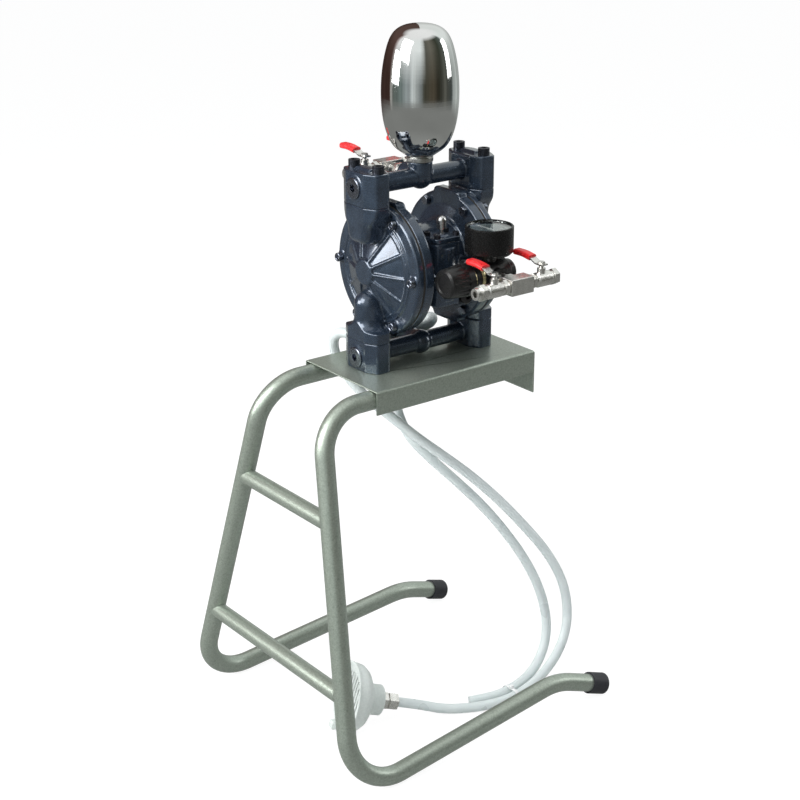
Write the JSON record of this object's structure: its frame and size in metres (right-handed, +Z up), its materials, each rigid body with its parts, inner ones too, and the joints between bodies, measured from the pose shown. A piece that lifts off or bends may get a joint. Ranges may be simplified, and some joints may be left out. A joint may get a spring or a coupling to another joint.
{
  "type": "air-operated double diaphragm pump on stand",
  "caption": "Air-driven twin diaphragm pump on a bent-tube stand, with polished surge tank, regulator, gauge, lever ball valves and clear hoses ending in a floor strainer",
  "frame": {"origin": "on the floor, in the middle of the stand's outline, hoses left out", "axes": "+X from the rear bends to the rubber toes, along the pump shaft; +Y away from the regulator side; +Z up"},
  "size_m": [0.3989, 0.3366, 0.794],
  "materials": {
    "hammertone_paint": "grey-green hammered enamel",
    "navy_paint": "dark navy metallic gloss over cast aluminium",
    "black_rubber": "matt black",
    "diaphragm_rubber": "matt dark elastomer",
    "dark_steel": "black oxide fasteners",
    "bright_steel": "ground stainless",
    "nickel": "nickel-plated brass",
    "mirror_steel": "mirror-polished stainless",
    "brass": "bare turned brass",
    "black_plastic": "gloss black",
    "red_vinyl": "dipped red vinyl",
    "dial_white": "white printed dial",
    "lens_clear": "clear lens",
    "hose_clear": "translucent hose",
    "strainer_white": "white moulding",
    "bronze": "sintered bearing bronze"
  },
  "bodies": {
    "stand_and_pump": {"near_side_frame": "hammertone_paint", "far_side_frame": "hammertone_paint", "leg_crossbars": "hammertone_paint", "mounting_plate": "hammertone_paint", "foot_caps": "black_rubber", "pump_mounting_bolts": "dark_steel", "near_fluid_cover": "navy_paint", "far_fluid_cover": "navy_paint", "air_chambers": "navy_paint", "center_body": "navy_paint", "cover_bolts": "dark_steel", "upper_manifold": "navy_paint", "lower_manifold": "navy_paint", "manifold_bolts": "dark_steel", "port_plugs": "dark_steel", "ball_seats": "bright_steel", "shaft_bushes": "bronze", "near_diaphragm": "diaphragm_rubber", "far_diaphragm": "diaphragm_rubber", "air_valve_housing": "navy_paint", "air_valve_cap": "navy_paint", "air_valve_screws": "dark_steel", "exhaust_muffler": "black_plastic", "regulator_body": "dark_steel", "regulator_rings": "brass", "regulator_nipples": "nickel", "gauge_case": "black_plastic", "gauge_dial": "dial_white", "gauge_lens": "lens_clear", "front_tee": "nickel", "rear_tee": "nickel", "front_valve_bodies": "nickel", "rear_valve_bodies": "nickel", "surge_tank": "mirror_steel", "tank_collar": "nickel", "inlet_hose_tee": "nickel", "suction_hose": "hose_clear", "return_hose": "hose_clear", "hose_tie": "strainer_white", "strainer_fitting": "nickel", "foot_strainer": "strainer_white"},
    "shaft_assembly": {"diaphragm_shaft": "bright_steel", "inner_diaphragm_plates": "bright_steel", "outer_diaphragm_plates": "bright_steel"},
    "valve_spool": {"air_valve_spool": "bright_steel"},
    "reset_pin": {"reset_pin": "bright_steel"},
    "near_inlet_ball": {"near_inlet_ball": "bright_steel"},
    "far_inlet_ball": {"far_inlet_ball": "bright_steel"},
    "near_outlet_ball": {"near_outlet_ball": "bright_steel"},
    "far_outlet_ball": {"far_outlet_ball": "bright_steel"},
    "regulator_knob": {"regulator_knob": "black_plastic"},
    "gauge_needle": {"gauge_needle": "black_plastic"},
    "front_left_handle": {"front_left_lever": "nickel", "front_left_grip": "red_vinyl"},
    "front_right_handle": {"front_right_lever": "nickel", "front_right_grip": "red_vinyl"},
    "rear_left_handle": {"rear_left_lever": "nickel", "rear_left_grip": "red_vinyl"},
    "rear_right_handle": {"rear_right_lever": "nickel", "rear_right_grip": "red_vinyl"}
  },
  "joints": [
    {"name": "shaft_slide", "type": "slide", "parent": "stand_and_pump", "child": "shaft_assembly", "axis": [1, 0, 0], "range_m": [-0.005, 0.005], "deforming": ["near_diaphragm", "far_diaphragm"]},
    {"name": "spool_slide", "type": "slide", "parent": "stand_and_pump", "child": "valve_spool", "axis": [0, 0, 1], "range_m": [-0.004, 0.004]},
    {"name": "reset_pin_press", "type": "slide", "parent": "stand_and_pump", "child": "reset_pin", "axis": [0, 0, -1], "range_m": [0, 0.004], "stiffness_N_per_m": 300, "springref_m": -0.002},
    {"name": "near_inlet_ball_lift", "type": "slide", "parent": "stand_and_pump", "child": "near_inlet_ball", "axis": [0, 0, 1], "range_m": [0, 0.005]},
    {"name": "near_outlet_ball_lift", "type": "slide", "parent": "stand_and_pump", "child": "near_outlet_ball", "axis": [0, 0, 1], "range_m": [0, 0.005]},
    {"name": "far_inlet_ball_lift", "type": "slide", "parent": "stand_and_pump", "child": "far_inlet_ball", "axis": [0, 0, 1], "range_m": [0, 0.005]},
    {"name": "far_outlet_ball_lift", "type": "slide", "parent": "stand_and_pump", "child": "far_outlet_ball", "axis": [0, 0, 1], "range_m": [0, 0.005]},
    {"name": "knob_turn", "type": "hinge", "parent": "stand_and_pump", "child": "regulator_knob", "pos_m": [0.01284, -0.086, 0.5338], "axis": [-1, 0, 0], "range_deg": [0, 1080]},
    {"name": "needle_sweep", "type": "hinge", "parent": "stand_and_pump", "child": "gauge_needle", "pos_m": [0.05564, -0.086, 0.5838], "axis": [0, 0, -1], "range_deg": [0, 270], "stiffness_Nm_per_rad": 0.0005},
    {"name": "front_left_lever_turn", "type": "hinge", "parent": "stand_and_pump", "child": "front_left_handle", "pos_m": [0.02264, -0.134, 0.5338], "axis": [0, 0, 1], "range_deg": [0, 90]},
    {"name": "front_right_lever_turn", "type": "hinge", "parent": "stand_and_pump", "child": "front_right_handle", "pos_m": [0.08864, -0.134, 0.5338], "axis": [0, 0, -1], "range_deg": [0, 90]},
    {"name": "rear_left_lever_turn", "type": "hinge", "parent": "stand_and_pump", "child": "rear_left_handle", "pos_m": [0.00044, 0.064, 0.6285], "axis": [0, 0, 1], "range_deg": [0, 90]},
    {"name": "rear_right_lever_turn", "type": "hinge", "parent": "stand_and_pump", "child": "rear_right_handle", "pos_m": [0.06644, 0.064, 0.6285], "axis": [0, 0, -1], "range_deg": [0, 90]}
  ]
}
